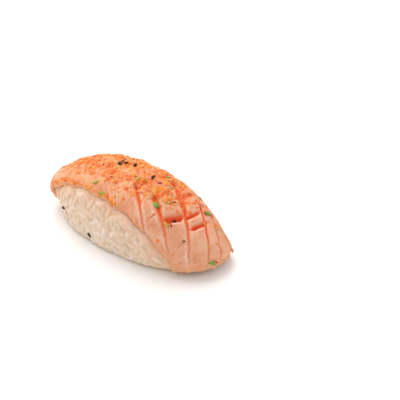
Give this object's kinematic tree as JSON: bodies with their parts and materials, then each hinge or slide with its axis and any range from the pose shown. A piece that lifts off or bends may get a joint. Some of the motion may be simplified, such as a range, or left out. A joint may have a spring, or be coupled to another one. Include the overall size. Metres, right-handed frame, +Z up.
{
  "type": "salmon nigiri",
  "caption": "Hand-pressed pad of sushi rice under a scored, lightly seared slice of salmon, strewn with orange spice crumbs, herb flakes and black sesame.",
  "frame": {"origin": "on the table, under the middle of the whole piece", "axes": "+X along the piece to the front end, where the slice comes down to the table; +Y to its far side; +Z up"},
  "size_m": [0.0842, 0.035, 0.0284],
  "materials": {
    "rice": "moist, slightly glossy cooked rice that light soaks into",
    "salmon": "satin, lightly seared raw fish, pale pink on top and orange-red in its cuts",
    "spice": "dry orange to yellow crumbs with some red flakes",
    "herb": "dry green flakes",
    "sesame": "dull black seed coat with a faint sheen"
  },
  "bodies": {
    "root": {"rice": "rice", "salmon": "salmon"}
  },
  "joints": []
}
